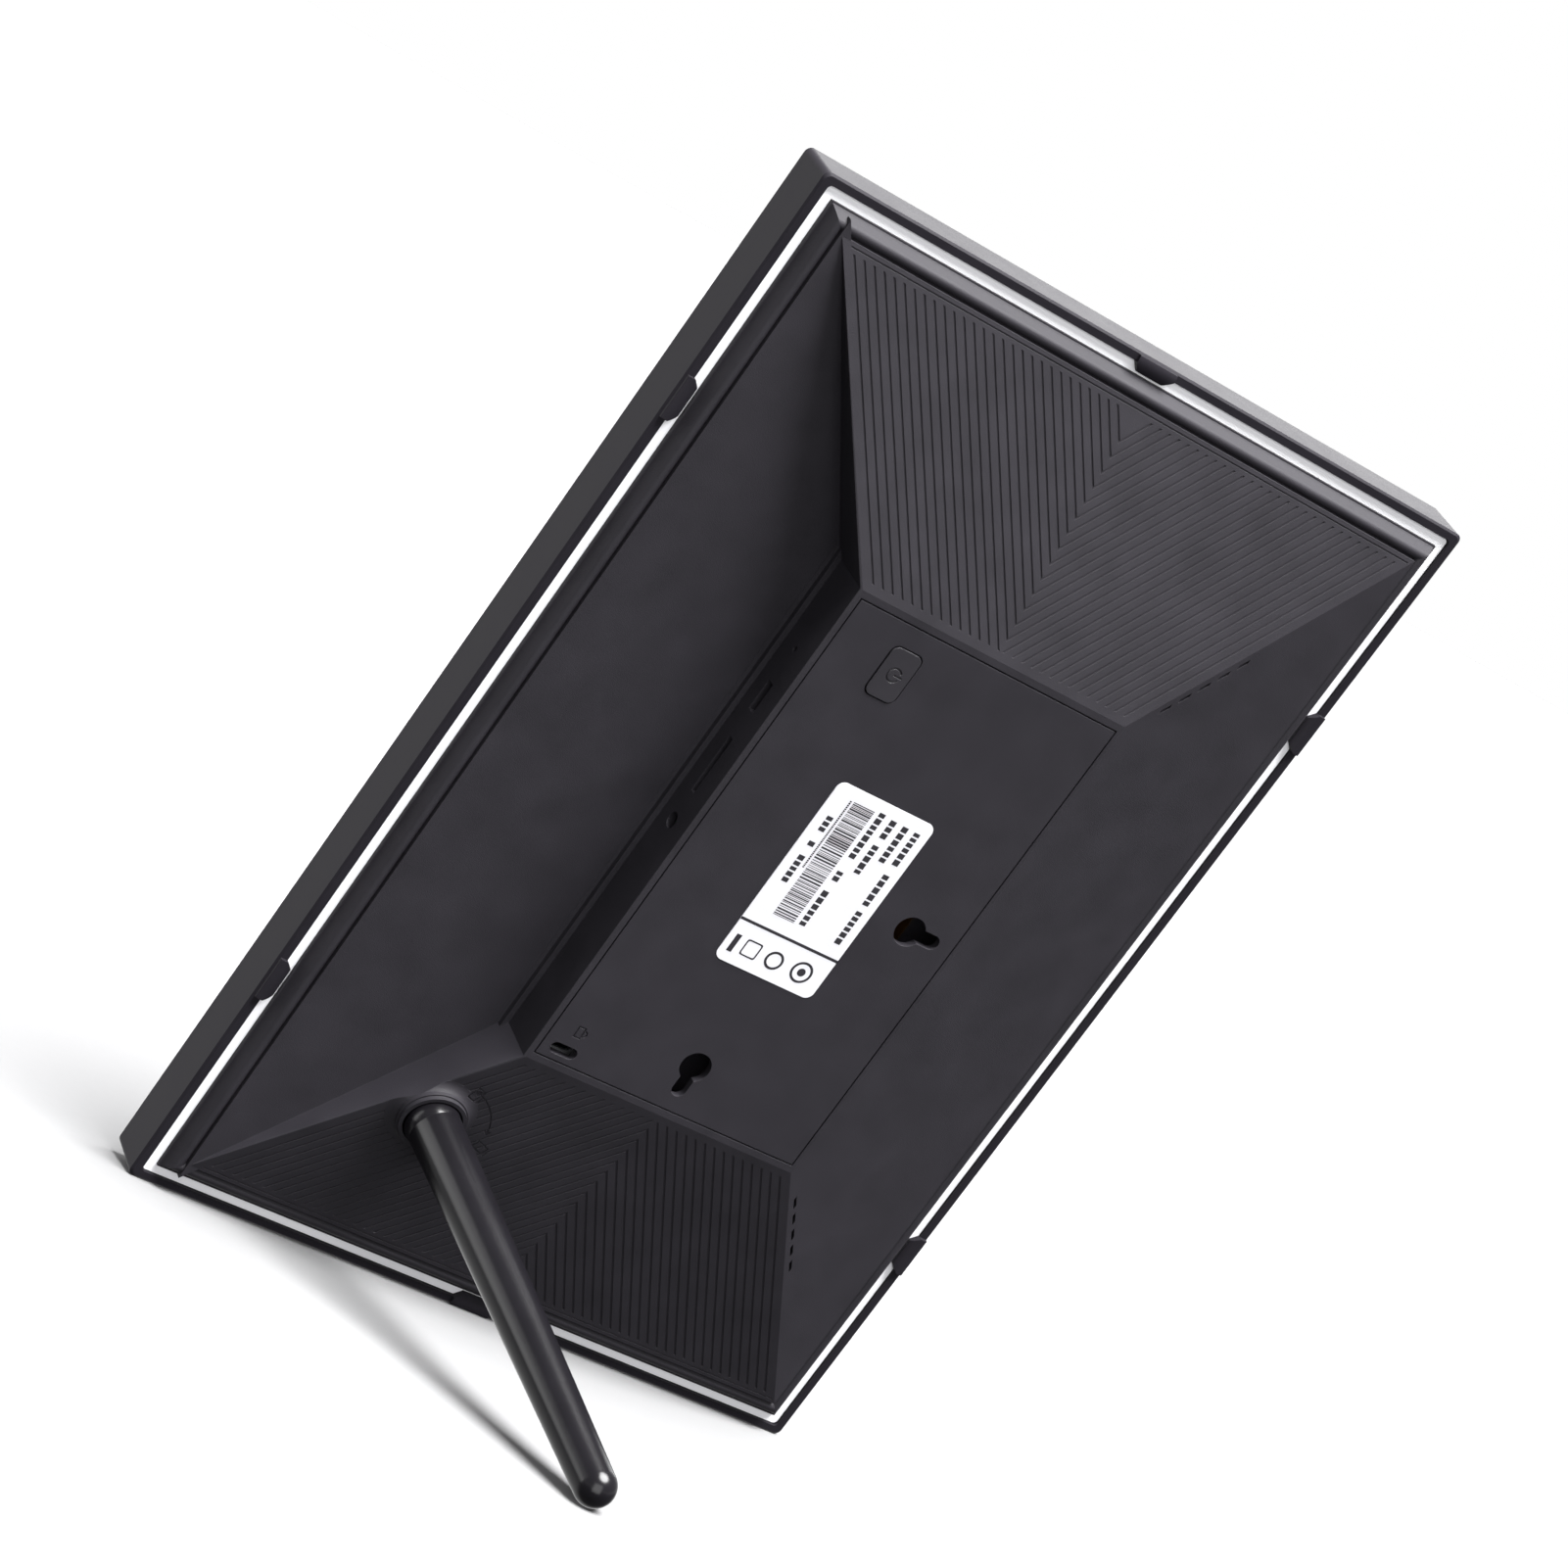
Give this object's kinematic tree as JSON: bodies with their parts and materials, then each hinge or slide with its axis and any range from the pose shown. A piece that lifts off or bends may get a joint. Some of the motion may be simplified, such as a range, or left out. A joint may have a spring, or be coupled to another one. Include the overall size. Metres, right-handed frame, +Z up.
{
  "type": "digital photo frame",
  "caption": "Tabletop digital photo frame with a faceted grooved back, socket recess, keyholes, push button and a twist-round rod stand.",
  "frame": {"origin": "on the surface the frame stands on, under the middle of its box", "axes": "+Z up along the leaning long side, -Y the way the screen faces, +Y the back with the stand, +X the side with the sockets"},
  "size_m": [0.181, 0.1262, 0.2625],
  "materials": {
    "frame_black": "fine moulded texture",
    "housing_black": "fine spark-eroded texture",
    "cover_black": "fine spark-eroded texture",
    "button_black": "satin",
    "mat_white": "smooth white",
    "screen_glass": "polished",
    "panel_dark": "dark screen",
    "foam_black": "matt foam",
    "sheet_steel": "bright",
    "screw_steel": "zinc plated",
    "chassis_grey": "moulded",
    "board_green": "solder mask",
    "chip_black": "moulded",
    "module_blue": "solder mask",
    "film_amber": "polyimide film",
    "lead_red": "insulation",
    "lead_black": "insulation",
    "plunger_cream": "moulded",
    "label_white": "printed film",
    "rod_black": "satin black"
  },
  "bodies": {
    "frame_body": {"outer_frame": "frame_black", "cover_glass": "screen_glass", "glass_gasket": "foam_black", "mat_panel": "mat_white", "lcd_glass": "panel_dark", "backlight": "sheet_steel", "inner_chassis": "chassis_grey", "chassis_screws": "screw_steel", "rear_housing": "housing_black", "housing_screws": "screw_steel", "centre_cover": "cover_black", "lock_plate": "sheet_steel", "rating_label": "label_white", "power_switch": "chip_black", "reset_switch": "chip_black", "main_board": "board_green", "board_screws": "screw_steel", "processor": "chip_black", "memory_chips": "chip_black", "shield_can": "sheet_steel", "wifi_module": "module_blue", "wifi_antenna": "film_amber", "antenna_lead": "lead_black", "dc_jack": "chip_black", "usb_socket": "sheet_steel", "card_socket": "sheet_steel", "speaker_upper": "chip_black", "speaker_lower": "chip_black", "speaker_leads": "lead_red", "display_ribbon": "film_amber", "touch_ribbon": "film_amber", "socket_bush": "plunger_cream", "friction_washer": "sheet_steel"},
    "stand": {"stand_rod": "rod_black", "stand_screw": "screw_steel", "stand_washer": "sheet_steel"},
    "power_key": {"power_button": "button_black", "power_plunger": "plunger_cream"},
    "reset_key": {"reset_plunger": "plunger_cream"}
  },
  "joints": [
    {"name": "stand_twist", "type": "hinge", "parent": "frame_body", "child": "stand", "pos_m": [0.04398, -0.02657, 0.04148], "axis": [0, 0.9178, -0.3971], "range_deg": [0, 90]},
    {"name": "power_press", "type": "slide", "parent": "frame_body", "child": "power_key", "axis": [0, -0.9768, 0.2144], "range_m": [0, 0.0006], "stiffness_N_per_m": 1500},
    {"name": "reset_press", "type": "slide", "parent": "frame_body", "child": "reset_key", "axis": [-1, 0, 0], "range_m": [0, 0.0003], "stiffness_N_per_m": 1500}
  ]
}
